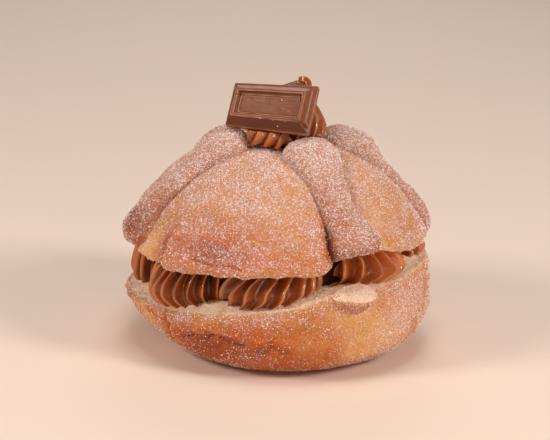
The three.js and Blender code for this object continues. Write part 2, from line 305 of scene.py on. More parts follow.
# each bone's azimuth, how far its waist sways and its foot bends aside, the arcs where it starts and
# ends, how long its end's cap is, where knob and foot lie, the half widths of knob, waist and foot,
# and the power that makes the knob abrupt
boneKeys = ("azimuth", "sway", "bend", "start", "end", "cap",
            "knobAt", "footAt", "knob", "waist", "foot", "power")
bones = [dict(zip(boneKeys, row)) for row in [
    (197, 4.5, 0, 12.5, 74.6, 4.6, 23, 67, 11.2, 5.7, 8.3, 2),
    (-61.5, 0.2, 3.6, 12.5, 72.8, 7, 22, 64, 10.4, 6.3, 9.8, 2),
    (11, 0, 2.5, 11.5, 75.5, 5, 26, 64, 10.6, 4.9, 6.4, 4),
    (106, 2, 0, 10, 74.5, 5, 22, 66, 9.8, 6.4, 8.4, 2),
]]
frontBone = 1
boneShape = {
    "startCap": 7.0,
    "rise": 0.74,  # height over half width
    "bulb": 0.16,  # how much higher the foot stands than that
    "creaseDepth": 0.7,
    "creaseWidth": 0.8,
    "pillow": 1.7,
    "pillowWidth": 2.8,
    "cleft": 3.2,  # depth of the gap left of the front bone's foot
}


# a percent or two off a true circle
def outOfRound(a):
    return 1 + 0.01 * np.cos(2 * a + 0.9) + 0.007 * np.cos(3 * a - 1.3)


# the knife's plane: a height over the origin, plus a slope times x
def lowerCut(x):
    return loaf["cutHeight"] + loaf["cutSlope"] * x


# the plain sloping cut, plus each wave's bell in azimuth that grows with the cube of the radius
def upperCut(x, y):
    share = np.minimum(1, np.hypot(x, y) / loaf["crownRadius"]) ** 3
    z = loaf["crownRim"] + loaf["crownSlope"] * x
    for azimuth, rise, left, right, steep in rimWaves:
        away = turnFrom(np.arctan2(y, x), azimuth * deg) / deg
        wave = np.where(away < 0, np.exp(-np.abs(away / left) ** steep), bell(away, 0, right))
        z = z + rise * wave * share
    return z


# meridian of the dome by arc length: r = R sin(a)^(2/plumpness), z = H cos(a)^1.8, with its slopes
angles = np.linspace(0, math.pi / 2, 801)
meridianR = loaf["crownRadius"] * np.sin(angles) ** (2 / loaf["plumpness"])
meridianZ = loaf["crownHeight"] * np.cos(angles) ** 1.8
meridianArc = np.concatenate([[0], np.cumsum(np.hypot(np.diff(meridianR), np.diff(meridianZ)))])
meridianOut = -np.gradient(meridianZ, meridianArc)
meridianUp = np.gradient(meridianR, meridianArc)
crownArc = meridianArc[-1]


# a point over the dome: out along its meridian's normal by the lift, less the hollow in the middle
def domePoint(azimuth, arc, lift):
    r = np.interp(arc, meridianArc, meridianR)
    out = np.interp(arc, meridianArc, meridianOut)
    up = np.interp(arc, meridianArc, meridianUp)
    radius = r * outOfRound(azimuth) + out * lift
    hollow = loaf["hollowDepth"] * bell(r, 0, loaf["hollowRadius"])
    z = loaf["crownRim"] + np.interp(arc, meridianArc, meridianZ) - hollow + up * lift
    z = z - np.maximum(0, arc - crownArc)
    x = radius * np.cos(azimuth) + loaf["lean"] * (z - loaf["crownRim"])
    return xyz(x, radius * np.sin(azimuth), z)


# a quarter circle: steep at 0 and level from 1 on
def arch(x):
    return np.sqrt(1 - (1 - clamp(x)) ** 2)


# knob and foot as bells on the waist (the knob with a power of 2, or 4 for an abrupt one),
# rounded off like an ellipse over a cap at both ends
def boneHalfWidth(bone, arc):
    fromKnob = np.abs(arc - bone["knobAt"]) / 11
    knob = (bone["knob"] - bone["waist"]) * np.exp(-fromKnob ** bone["power"])
    foot = (bone["foot"] - bone["waist"]) * bell(arc, bone["footAt"], 10)
    width = (bone["waist"] + knob + foot) * arch((arc - bone["start"]) / boneShape["startCap"])
    return width * arch((bone["end"] - arc) / bone["cap"])


# for each place on the dome: how far across and along the bone it lies, the bone's half width there,
# how high it stands over the dough, and how far off its edge is
def boneField(bone, azimuth, arc):
    r = np.interp(arc, meridianArc, meridianR)
    middle = bone["azimuth"] + bone["sway"] * bell(arc, 43, 10) + bone["bend"] * smooth(42, 64, arc)
    away = turnFrom(azimuth, middle * deg)
    across = r * np.sin(away)
    setBack = r * (1 - np.cos(away))
    along = arc - setBack * np.interp(arc, meridianArc, meridianUp)
    near = np.cos(away) > 0.2
    half = np.where(near, boneHalfWidth(bone, along), 0)
    section = np.sqrt(np.maximum(0, 1 - (across / np.maximum(half, 0.01)) ** 2))
    bulb = 1 + boneShape["bulb"] * bell(along, bone["footAt"], 7)
    height = boneShape["rise"] * bulb * half * section
    height = height + setBack * np.interp(arc, meridianArc, meridianOut)
    beside = np.where(near, np.abs(across) - half, 50)
    return across, along, half, np.where(section * half > 0, height, -5), beside


# folds and wrinkles in the crown's dough: a line of (azimuth, arc) places, then width and depth
crownGrooves = [
    ([(-122, 70.6), (-116, 71.4), (-109, 70.8), (-103, 71.4)], 0.45, 0.9),
    ([(-119, 68.6), (-112, 68.2)], 0.5, 0.45),
    ([(-135.8, 60), (-135.2, 66), (-135.2, 70), (-136.6, 76)], 0.7, 1.3),
    ([(-128, 52), (-120, 55), (-112, 53.5)], 1.6, 0.4),
    ([(-100, 40), (-92, 42)], 1.6, 0.35),
    ([(-95, 61), (-86, 64), (-80, 62)], 1.8, 0.35),
    ([(-32, 60), (-25, 63), (-17, 61)], 1.2, 0.4),
    ([(48, 66), (58, 69), (66, 67.5)], 0.7, 0.8),
    ([(140, 70), (150, 68.5), (160, 70.5)], 0.7, 0.7),
    ([(80, 58), (84, 64), (83, 71)], 0.8, 0.7),
]

# how the crown is coloured, mostly by baking, with painted shade and painted light in a few patches:
# azimuth, arc, spread in degrees and in mm, then more brown, pale and sugar
crownPatches = [
    (-116, 67, 20, 7, 1.05, 0, -0.12),
    (-112, 57, 16, 6, 0.35, 0, -0.1),
    (-84, 69, 12, 5, 0.35, 0, -0.14),
    (-140, 62, 8, 10, 0.15, 0.2, -0.1),
    # pale dough at the left end, made paler still as painted light where it lies in shade
    (-149, 71, 7, 8, -0.6, 1.1, -0.16),
    (-46, 62, 5, 13, 0, 0.6, -0.16),
    (-38, 50, 12, 12, 0, 0.25, -0.05),
    (-60, 69.5, 9, 4.2, 1.4, 0, -0.3),
    (-51, 63, 4, 9, 0.8, 0, -0.2),
    (-62, 58, 8, 14, 0.35, 0, -0.08),
    (-57, 64, 3.5, 3.5, -0.2, 0.25, 0.2),
    (-57, 59.5, 4, 1.4, 0, 0, 0.5),
    # painted shade: browner beside the cleft left of the front bone
    (-66, 44, 5, 12, 0.3, 0, -0.15),
    # the left bone's end and its lower side: browner, partly baked crust and partly painted shade
    (199, 67, 9, 8, 1.25, 0, -0.3),
    (203, 57, 4, 14, 0.55, 0, -0.25),
    (192, 52, 10, 8, 0.2, 0, 0),
    (196, 24, 24, 10, 0.3, 0, 0.2),
    (-61, 22, 26, 12, 0.1, 0, 0.35),
    (-52, 34, 8, 10, 0.2, 0, 0.15),
    # the right bone's knob: browner with less sugar, painted shade against the light from above
    (12, 30, 20, 20, 0.5, 0, -0.06),
    (13, 70, 10, 8, 0.4, 0, 0),
    (106, 68, 12, 8, 0.6, 0, 0),
    (106, 24, 24, 10, 0.2, 0, 0.25),
    (-100, 30, 24, 14, 0, 0.2, 0.14),
    (-103, 46, 14, 7, 0, 0, 0.16),
    (-138, 50, 9, 5, 0, 0.1, 0.22),
    # painted shade: browner left of the fold in the front panel
    (-138, 69, 2, 7, 0.6, 0, -0.15),
    (-20, 55, 20, 14, 0, 0.25, 0),
    (55, 66, 24, 8, 0.5, 0, -0.1),
    (150, 64, 20, 10, 0.45, 0, -0.1),
    (80, 60, 8, 12, 0, 0.5, -0.3),
    (128, 55, 8, 14, 0, 0.5, -0.3),
]


# distance in mm from each place to a line of places, with azimuths as lengths at this radius
def lineDistance(azimuth, arc, line, radius):
    best = np.full(np.broadcast(azimuth, arc).shape, 99.0)
    for (a0, s0), (a1, s1) in zip(line[:-1], line[1:]):
        px = turnFrom(azimuth, a0 * deg) * radius
        py = arc - s0
        dx = (a1 - a0) * deg * radius
        dy = s1 - s0
        t = clamp((px * dx + py * dy) / (dx * dx + dy * dy))
        best = np.minimum(best, np.hypot(px - t * dx, py - t * dy))
    return best


# the sum of bells over the patches, one total for each of brown, pale and sugar
def patchwork(patches, azimuth, along):
    totals = [0.0, 0.0, 0.0]
    for middle, height, wide, tall, *amounts in patches:
        here = sector(azimuth, middle, wide) * bell(along, height, tall)
        totals = [total + amount * here for total, amount in zip(totals, amounts)]
    return totals


# the crown's height over the plain dome and what its crust is like there: the higher one of panel and
# bone, less a crease where they meet, its folds and a cleft; dough swells up beside each bone
def crownRelief(azimuth, arc):
    plain = domePoint(azimuth, arc, 0 * arc)
    nearest = np.min([np.abs(turnFrom(azimuth, b["azimuth"] * deg)) for b in bones], axis=0)
    fade = np.sin(np.minimum(1, arc / crownArc * 1.6) * math.pi / 2)
    rounded = np.sin(np.minimum(1, nearest / (40 * deg)) * math.pi / 2)
    fields = [boneField(bone, azimuth, arc) for bone in bones]
    beside = np.min([field[4] for field in fields], axis=0)
    pillow = 1 - bell(np.maximum(beside + 0.8, 0), 0, boneShape["pillowWidth"])
    # right of the front bone's knob the dough runs up onto it without a crease
    merged = sector(azimuth, -38, 15) * bell(arc, 33, 13)
    panel = (loaf["swell"] - 0.6) * rounded * fade + 1.5 * merged
    panel = panel + boneShape["pillow"] * (pillow - 0.6) * smooth(16, 34, arc)
    panel = panel + 0.6 * rough(plain, 16, 11) * fade
    panel = panel + 0.25 * rough(plain, 7, 13) + 0.16 * rough(plain, 3, 12)
    top = np.full(arc.shape, -9.0)
    onBone = np.zeros(arc.shape)
    cleft = np.zeros(arc.shape)
    for i, field in enumerate(fields):
        across, along, half, height = field[:4]
        uneven = 0.5 * rough(plain, 9, 20 + i) + 0.16 * rough(plain, 3, 30 + i)
        height = height + uneven * smooth(-4, 1, height)
        onBone = np.where(height > np.maximum(top, panel), 1.0, onBone)
        top = np.maximum(top, height)
        if i == frontBone:
            gap = bell(across + half + 0.2, 0, 1.0) * smooth(46, 62, along)
            cleft = boneShape["cleft"] * gap
    crease = bell(top, panel, boneShape["creaseWidth"]) * smooth(12, 20, arc)
    lift = np.maximum(top, panel) - boneShape["creaseDepth"] * crease * (1 - merged) - cleft
    groove = np.zeros(arc.shape)
    for line, width, depth in crownGrooves:
        dent = bell(lineDistance(azimuth, arc, line, loaf["foldRadius"]), 0, width)
        lift = lift - depth * dent
        groove = np.maximum(groove, dent * min(1, depth))
    # the dough right of the fold laps over the part on its left
    foldAt = loaf["foldAt"] + 1.2 * np.sin((arc - 62) / 5)
    heading = turnFrom(azimuth, 0) / deg
    lap = smooth(-0.9, 0.4, heading - foldAt) * (1 - smooth(-130, -116, heading))
    lift = lift + loaf["lap"] * lap * smooth(57, 66, arc)
    sheltered = np.maximum(0.8 * bell(top, panel, 1.3), 0.5 * groove)
    sheltered = np.maximum(sheltered * (1 - merged), clamp(cleft / 2.6) ** 2) * smooth(10, 22, arc)
    brown, pale, sugar = patchwork(crownPatches, azimuth, arc)
    hollow = 1 - smooth(11, 20, arc)
    # browner in the middle hollow and in the cleft: partly baked crust, partly painted shade
    brown = brown + 0.3 * hollow + 0.9 * clamp(cleft / 3) ** 1.5
    sugar = sugar - 0.4 * hollow
    edgeBand = bell(beside, 1.6, 2.2) * (1 - onBone) * smooth(14, 24, arc)
    pale = (pale + 0.3 * edgeBand) * (1 - 0.8 * onBone)
    sugar = sugar - 0.1 * edgeBand
    # painted shade: the front panel is browner where it dips to the front bone, beside the cleft
    across, along, half = fields[frontBone][:3]
    dipShade = bell(across + half + 1.4, 0, 2.4) * smooth(44, 58, along)
    brown = brown + 0.7 * dipShade
    sugar = sugar - 0.25 * dipShade
    return lift, onBone, sheltered, brown, pale, sugar


print("shaping the upper half")
columns = loaf["columns"]
around = circle(columns)
rimPlace = xyz(loaf["crownRadius"] * np.cos(around), loaf["crownRadius"] * np.sin(around), 0)
rimRough = 0.45 * lumps(rimPlace, 3.1, 41) + 0.3 * lumps(rimPlace, 1.3, 42)

# down each column, the arc at which the lifted dome meets the cut
searchArc = np.linspace(52, 84, 161)
gridA, gridS = np.meshgrid(around, searchArc, indexing="ij")
searchPoint = domePoint(gridA, gridS, crownRelief(gridA, gridS)[0])
above = searchPoint[..., 2] - upperCut(searchPoint[..., 0], searchPoint[..., 1]) - rimRough[:, None]
lastAbove = len(searchArc) - 1 - np.argmax(above[:, ::-1] > 0, axis=1)
lastAbove = np.clip(lastAbove, 0, len(searchArc) - 2)
pick = np.arange(columns)
here = above[pick, lastAbove]
after = above[pick, lastAbove + 1]
searchStep = searchArc[1] - searchArc[0]
rimArc = searchArc[lastAbove] + searchStep * here / np.maximum(here - after, 1e-6)

rowShare = np.linspace(0, 1, 128)[:, None] ** 0.94
arcGrid = rimArc * (1 - rowShare) + 0.25 * rowShare
azimuthGrid = np.broadcast_to(around, arcGrid.shape)
lift, onBone, sheltered, brown, pale, sugar = crownRelief(azimuthGrid, arcGrid)
fromRim = rimArc - arcGrid
lift = lift - 1.1 * np.exp(-fromRim / 0.7) - 1.2 * onBone * np.exp(-fromRim / 1.4)
domeRings = domePoint(azimuthGrid, arcGrid, lift)
rim = domeRings[0]

# the cut face runs in from the rim, with the crumb's pores in it
inward = np.array([0.02, 0.2, 0.4, 0.56, 0.68, 0.76, 0.82, 0.87, 0.91, 0.94, 0.965, 0.985])[:, None]
cutRings = xyz(rim[:, 0] * inward, rim[:, 1] * inward, 0.0)
cutLevel = upperCut(cutRings[..., 0], cutRings[..., 1])
edgeGap = rim[:, 2] - upperCut(rim[:, 0], rim[:, 1])
cutRings[..., 2] = cutLevel + edgeGap * inward ** 8 + 0.25 * (1 + rough(cutRings, 2.4, 43))

# sugar lies thicker towards the top and on the bones
frosting = mix(0.66, 0.46, smooth(30, 66, arcGrid)) + 0.16 * onBone + sugar - 0.6 * sheltered
crownSkin = bandedSkin([cutRings, domeRings], {
    "crumb": (1, smooth(0.4, 0.1, fromRim) * 0.3),
    # browner in the creases: partly baked crust, partly painted shade
    "brown": (0, np.clip(brown + 0.4 * sheltered ** 2, 0, 1.2)),
    "pale": (0, clamp(pale + 0.4 * np.exp(-fromRim / 1.3) * (1 - onBone))),
    "bone": (0, onBone),
    "sugar": (0.2, clamp(frosting)),
})

# the lower half's creases, as lines of (azimuth, rise in mm); rise is 1 at the widest line and 2 at
# the rim, and 1 of it counts as this many mm
riseLength = 25
heelGrooves = [
    ([(-136, 49), (-134.5, 25), (-137, 18), (-143, 12)], 0.55, 1.1),
    ([(-128, 21), (-121, 24), (-115, 23.5), (-113, 27), (-107, 23.5), (-101, 23)], 0.4, 0.95),
    ([(-121, 24), (-124, 28)], 0.4, 0.5),
    ([(-118, 30), (-113, 27)], 0.5, 0.5),
    ([(-96, 20), (-91, 23), (-86, 21)], 1.6, 0.6),
    ([(-92, 23), (-90, 28)], 0.8, 0.4),
    ([(-70, 18), (-60, 21), (-52, 19)], 1.8, 0.5),
    ([(-38, 16), (-36, 22)], 0.6, 0.5),
    ([(20, 20), (32, 24), (44, 22)], 0.8, 0.9),
    ([(100, 22), (112, 25), (121, 22)], 0.7, 1.0),
    ([(158, 40), (160, 28), (166, 20)], 0.8, 1.0),
]
heelPatches = [
    (-98, 22, 26, 13, 0.68, 0, -0.36),
    (-120, 20, 16, 12, 0.7, 0, -0.14),
    (-146, 34, 8, 12, 0.45, 0, -0.1),
    (-160, 36, 8, 12, 0, 0.5, -0.2),
    (-151, 34, 7, 10, -0.3, 0.6, -0.1),
    (-152, 18, 11, 9, -0.4, 0.9, -0.2),
    (-62, 38, 18, 8, 0, 0.55, -0.15),
    (-54, 22, 16, 12, -0.2, 0.75, -0.06),
    (-35, 30, 22, 16, 0, 0.3, 0.14),
    (-32, 34, 11, 12, 0, 0.2, 0.22),
    (-102, 38, 24, 7, 0.3, 0, 0),
    (-78, 10, 20, 7, 0.45, 0, -0.1),
    (30, 16, 40, 10, 0.55, 0, -0.1),
    (110, 18, 40, 10, 0.6, 0, -0.1),
    (70, 40, 20, 10, 0, 0.4, -0.1),
    (150, 38, 18, 10, 0.2, 0.3, -0.1),
]


# up to the widest line r = contact + reach sin(a)^1.15 and z = bulge (1 - cos a), then in a little
# towards the rim, with the square of the rise
def heelPoint(azimuth, rise, out):
    a = np.minimum(rise, 1) * math.pi / 2
    t = np.maximum(rise - 1, 0)
    reach = loaf["bulgeRadius"] - loaf["contactRadius"]
    inwards = (loaf["bulgeRadius"] - loaf["rimRadius"]) * t ** 2
    radius = loaf["contactRadius"] + reach * np.sin(a) ** 1.15 - inwards
    radius = radius * outOfRound(azimuth) + out
    x = radius * np.cos(azimuth)
    foot = loaf["bulgeHeight"] * (1 - np.cos(a))
    z = np.where(rise <= 1, foot, mix(loaf["bulgeHeight"], lowerCut(x), t))
    return xyz(x, radius * np.sin(azimuth), z)


print("shaping the lower half")
rises = np.concatenate([np.linspace(0, 1, 56), np.linspace(1, 2, 34)[1:]])
riseGrid, heelA = np.meshgrid(rises, around, indexing="ij")
alongWall = riseGrid * riseLength
plainWall = heelPoint(heelA, riseGrid, 0 * heelA)
standing = smooth(0.05, 0.5, riseGrid)
out = (0.9 * rough(plainWall, 19, 51) + 0.35 * rough(plainWall, 6, 52)) * standing
out = out - loaf["setIn"] * sector(heelA, -154, 28) * (1 - smooth(0.4, 1.6, riseGrid))
heelShelter = np.zeros(riseGrid.shape)
for line, width, depth in heelGrooves:
    away = lineDistance(heelA, alongWall, line, loaf["rimRadius"])
    dent = bell(away, 0, width)
    out = out - depth * dent + 0.5 * depth * bell(away, 3.2, 1.8)
    heelShelter = np.maximum(heelShelter, dent * min(1, depth))
fromLip = (2 - riseGrid) * loaf["upperWall"]
out = out - 0.9 * np.exp(-fromLip / 0.8)
wallRings = heelPoint(heelA, riseGrid, out)
lip = wallRings[-1]
lipRise = 0 * around
for azimuth, rise, spread in lipWaves:
    lipRise = lipRise + rise * sector(around, azimuth, spread)
lipRough = 0.5 * lumps(lip, 3.3, 53) + 0.3 * lumps(lip, 1.4, 54)
wallRings[..., 2] += lipRough * np.exp(-fromLip / 1.5) + lipRise * smooth(1.1, 2, riseGrid)

# the cut face: crumb that sinks a little inside the crust
faceShare = np.concatenate([np.linspace(0.99, 0.62, 36), [0.5, 0.3, 0.05]])[:, None]
faceRings = xyz(lip[:, 0] * faceShare, lip[:, 1] * faceShare, 0.0)
dip = 0.3 * smooth(0.93, 1.0, 1.93 - faceShare)
crumbRough = 0.25 * rough(faceRings, 3.5, 55) + 0.14 * lumps(faceRings, 1.1, 58)
faceRings[..., 2] = lowerCut(faceRings[..., 0]) - dip + crumbRough
faceRings[..., 2] += 1.7 * smooth(0.0, 0.15, 1 - faceShare)
faceRings[..., 2] += lipRough * faceShare ** 30 + lipRise * faceShare ** 9
footRings = wallRings[0] * np.array([0.1, 0.5, 0.9])[:, None, None]

brown, pale, sugar = patchwork(heelPatches, heelA, alongWall)
# browner near the table, and in the creases, where it is partly baked crust and partly painted shade
brown = brown + 0.5 * (1 - smooth(0.1, 0.45, riseGrid)) + 0.55 * heelShelter
sugar = 0.2 + sugar + 0.12 * smooth(1.3, 1.9, riseGrid) - 0.3 * heelShelter
heelSkin = bandedSkin([footRings, wallRings, faceRings], {
    "crumb": (0, smooth(0.5, 0.1, fromLip) * 0.6, 1),
    "brown": (1, np.clip(brown, 0, 1.2), 0),
    "pale": (0, clamp(pale + 0.5 * np.exp(-fromLip / 1.6)), 0),
    "bone": (0, 0, 0),
    "sugar": (0, clamp(sugar), 0.14),
})

# the stump of the front bone: a drop-shaped face that leans outwards, with round dough under it
stump = {
    "azimuth": -60.4,
    "halfWidth": 9.3,
    "halfDepth": 6.3,
    "taper": 0.24,
    "tilt": 0.13,  # how much its left end lies higher than the cut's slope
    "drop": 8.5,
    "faceTilt": 27,
    "reach": 57.4,
    "raise": 1.2,
}


# flat rings u = w cos a, v = d sin a (1 - taper + taper cos a), then rings that shrink
# while they sink like an ellipse and slip to one side by 0.3 of the depth
def stumpSkin():
    outward = np.array([math.cos(stump["azimuth"] * deg), math.sin(stump["azimuth"] * deg), 0])
    side = np.array([-outward[1], outward[0], 0])
    side[2] = loaf["cutSlope"] * side[0] - stump["tilt"]
    lean = stump["faceTilt"] * deg
    faceNormal = outward * math.sin(lean) + upwards * math.cos(lean)
    faceDown = outward * math.cos(lean) - upwards * math.sin(lean)
    middle = outward * stump["reach"]
    middle[2] = lowerCut(middle[0]) + stump["raise"]
    a = circle(120)
    inner = np.linspace(0.05, 0.97, 22)
    sunk = np.linspace(0.0, 0.985, 30)
    outer = np.cos(sunk * math.pi / 2) ** 0.8 * (1 + 0.1 * np.sin(sunk * math.pi))
    scale = np.concatenate([inner, outer])[:, None]
    depth = np.concatenate([0 * inner, stump["drop"] * np.sin(sunk * math.pi / 2)])[:, None]
    u = stump["halfWidth"] * scale * np.cos(a) - 0.3 * depth
    v = stump["halfDepth"] * scale * np.sin(a) * (1 - stump["taper"] + stump["taper"] * np.cos(a))
    points = middle + u[..., None] * side + v[..., None] * faceDown - depth[..., None] * faceNormal
    bulk = 0.3 * rough(points, 5, 61) + 0.22 * rough(points, 1.6, 65)
    swollen = np.where(depth[..., None] > 0, (points - middle) / 7, faceNormal * 1.1)
    points = points + bulk[..., None] * swollen
    crown = 0.6 * (1 - scale ** 2) + 0.2 * lumps(points, 1.6, 67)
    crown = crown * (depth == 0) * smooth(1.0, 0.8, scale)
    points = points + crown[..., None] * faceNormal
    onFace = np.broadcast_to((depth == 0) * smooth(1.02, 0.9, scale), u.shape)
    rest = 1 - onFace
    under = rest * smooth(0.2, 1.6, depth)
    spots = smooth(0.0, 0.8, rough(points, 2.2, 66))
    values = {
        "crumb": 0.55 * onFace,
        "brown": under * (0.6 + 0.5 * np.cos(a)) + 0.25 * onFace * spots,
        "pale": 0.7 * onFace,
        "bone": 0.4 * rest,
        "sugar": 0.7 * onFace + 0.55 * rest - 0.25 * under,
    }
    return closedSkin(points[::-1], {key: field[::-1] for key, field in values.items()})


crustLook = {
    "golden": tint(210, 136, 64),
    "orange": tint(194, 92, 18),
    "brown": tint(144, 60, 12),
    "boneBrown": tint(174, 102, 62),
    "pale": tint(238, 180, 116),
    "sugar": tint(243, 223, 214),
    "crumb": tint(255, 226, 192),
    "crumbDark": tint(244, 188, 138),
    "speckle": tint(232, 194, 158),
    "grain": 0.72,  # size of a sugar grain in the frosting, in mm
}


def breadFinish():
    look = crustLook
    bread = Finish("sugared_bread")
    names = ("brown", "pale", "crumb", "bone", "sugar")
    brown, pale, crumb, bone, sugar = [bread.attribute(name) for name in names]
    broad = bread.noise(13, 3.0, 0.55)
    patchy = bread.noise(6.5, 3.0, 0.6)
    mottle = bread.noise(2.6, 3.0, 0.6)
    fine = bread.noise(0.8, 2.0, 0.6)

    # crust: golden dough, orange where it swells, brown where baking went furthest; the brown attribute
    # also carries painted shade in creases, the cleft, the hollow and some patches
    bakedOrangeAndShade = brown * 0.8 + bone * 0.25 + (broad - 0.5) * 1.3 + (mottle - 0.5) * 1.1 + 0.3
    crust = bread.blend(bakedOrangeAndShade.between(0.0, 1.0), look["golden"], look["orange"])
    crust = bread.blend(bone * 0.7, crust, look["boneBrown"])
    bakedBrownAndShade = (brown + (mottle - 0.5) * 0.8 + (broad - 0.5) * 0.5).between(0.55, 1.3)
    crust = bread.blend(bakedBrownAndShade, crust, look["brown"])
    least = (pale + (patchy - 0.5) * 0.6).between(0.15, 1.0) * 0.9
    crust = bread.blend(least, crust, look["pale"])

    # the crust's own fine grain under the sugar
    speckle = bread.noise(0.75, 1.0, 0.5)
    crust = bread.blend(speckle.between(0.56, 0.38) * 0.6, crust, look["speckle"], "MULTIPLY")

    # crumb on the cut faces: pale and matt, a little darker in its hollows
    hollows = (fine - 0.5) * 1.2 + (mottle - 0.5) * 0.9 + 0.12
    crust = bread.blend(crumb, crust, bread.blend(hollows, look["crumb"], look["crumbDark"]))

    # frosting: grains in two sizes, each as white as its own number says, over a haze of finer sugar
    distance, own = bread.cells(look["grain"])
    distance2, own2 = bread.cells(look["grain"] * 0.6, 7.7)
    amount = sugar * 1.1 + (broad - 0.5) * 0.7 + (patchy - 0.5) * 1.1 + (mottle - 0.5) * 0.9 - 0.08
    amount = amount.maths("MAXIMUM", 0.0)
    here = distance.between(0.68, 0.3) * own ** 2.0
    here2 = distance2.between(0.7, 0.3) * own2 ** 1.8
    frost = (amount * 0.17 + (here + here2 * 0.55) * (amount * 1.25 + 0.13)) * (1 - crumb * 0.75)
    colour = bread.blend(frost, crust, look["sugar"])

    relief = bread.bump(fine + mottle * 2.4 + patchy * 3.0, 0.32)
    relief = bread.bump((here + here2 * 0.5) * (1 - crumb * 0.7), 0.24, Normal=relief)
    return bread.shade({
        "Base Color": colour,
        "Roughness": 0.62 - frost * 0.25,
        "Normal": relief,
        "Specular IOR Level": 0.28,
    })


bread = breadFinish()
makePiece("upper_bread", [crownSkin], bread, "upper_half")
makePiece("lower_bread", [heelSkin], bread, "lower_half")
stumpSurface = stumpSkin()
makePiece("bone_stump", [stumpSurface], bread, "lower_half")

sugarLook = {
    "white": tint(250, 242, 244),
    "amber": tint(226, 164, 112),
    "fineSize": (0.15, 0.27),  # half lengths of a grain, in mm
    "coarseSize": (0.23, 0.36),
}


def sugarFinish():
    grain = Finish("sugar_grains")
    own = grain.attribute("own")
    colour = grain.blend(own.between(0.7, 0.3), sugarLook["white"], sugarLook["amber"])
    return grain.shade({
        "Base Color": colour,
        "Roughness": 0.12 + own * 0.2,
        "Specular IOR Level": 0.75,
    })


grainFinish = sugarFinish()


# octahedra thrown on a skin: faces are drawn by area times density,
# each grain is turned and squashed at random
def scatterSugar(name, skin, density, count, size, seed, node):
    draw = np.random.default_rng(seed)
    quads = skin["quads"]
    corner = skin["points"][quads]
    normal = np.cross(corner[:, 2] - corner[:, 0], corner[:, 3] - corner[:, 1]) / 2
    area = np.linalg.norm(normal, axis=1)
    weight = np.cumsum(area * density[quads].mean(1))
    face = np.searchsorted(weight, draw.uniform(0, weight[-1], count))
    u, v = draw.uniform(0, 1, (2, count, 1))
    low = mix(corner[face, 0], corner[face, 1], u)
    high = mix(corner[face, 3], corner[face, 2], u)
    half = draw.uniform(*sugarLook[size], (count, 1))
    middle = mix(low, high, v) + normal[face] / np.maximum(area[face, None], 1e-9) * half * 0.35
    frameX = unit(draw.normal(size=(count, 3)))
    frameY = unit(np.cross(frameX, draw.normal(size=(count, 3))))
    frameZ = np.cross(frameX, frameY)
    stretch = half * draw.uniform(0.7, 1.25, (count, 3))
    axes = [frameX * stretch[:, :1], frameY * stretch[:, 1:2], frameZ * stretch[:, 2:]]
    tips = np.stack([sign * axis for axis in axes for sign in (1, -1)], 1)
    grains = middle[:, None] + tips
    grains[..., 2] = np.maximum(grains[..., 2], 0)
    pattern = np.array([[0, 2, 4], [2, 1, 4], [1, 3, 4], [3, 0, 4],
                        [2, 0, 5], [1, 2, 5], [3, 1, 5], [0, 3, 5]])
    triangles = (pattern[None] + 6 * np.arange(count)[:, None, None]).reshape(-1, 3)
    own = np.repeat(draw.uniform(0, 1, count), 6)
    grainSkin = {
        "points": grains.reshape(-1, 3),
        "quads": np.zeros((0, 4), int),
        "triangles": triangles,
        "values": {"own": own},
    }
    piece = makePiece(name, [grainSkin], grainFinish, node)
    piece.data.polygons.foreach_set("use_smooth", np.zeros(len(piece.data.polygons), bool))


# sugar lies thickest where the frosting is, in clumps, and none on the crumb under the crown
def sugarDensity(skin, seed):
    values = skin["values"]
    clump = 0.75 + 0.5 * rough(skin["points"], 7, seed) + 0.3 * lumps(skin["points"], 1.5, seed + 5)
    thick = 0.07 * (1 - values["crumb"]) * (skin["points"][:, 2] > 0.3)
    thick = thick + clamp(values["sugar"] - 0.02) ** 1.2
    return thick * np.clip(clump, 0.2, 2)


crownDensity = sugarDensity(crownSkin, 71)
heelDensity = sugarDensity(heelSkin, 75)
stumpDensity = stumpSurface["values"]["sugar"]
onlyBones = crownDensity * crownSkin["values"]["bone"]
onlyPanels = crownDensity * (1 - crownSkin["values"]["bone"])
for grains in (
    ("sugar_fine_panels", crownSkin, onlyPanels, 24500, "fineSize", 81, "upper_half"),
    ("sugar_fine_bones", crownSkin, onlyBones, 16000, "fineSize", 82, "upper_half"),
    ("sugar_coarse_upper", crownSkin, crownDensity, 6000, "coarseSize", 83, "upper_half"),
    ("sugar_fine_lower", heelSkin, heelDensity, 24000, "fineSize", 84, "lower_half"),
    ("sugar_coarse_lower", heelSkin, heelDensity, 2200, "coarseSize", 85, "lower_half"),
    ("sugar_on_stump", stumpSurface, stumpDensity, 2400, "fineSize", 87, "lower_half"),
):
    scatterSugar(*grains)

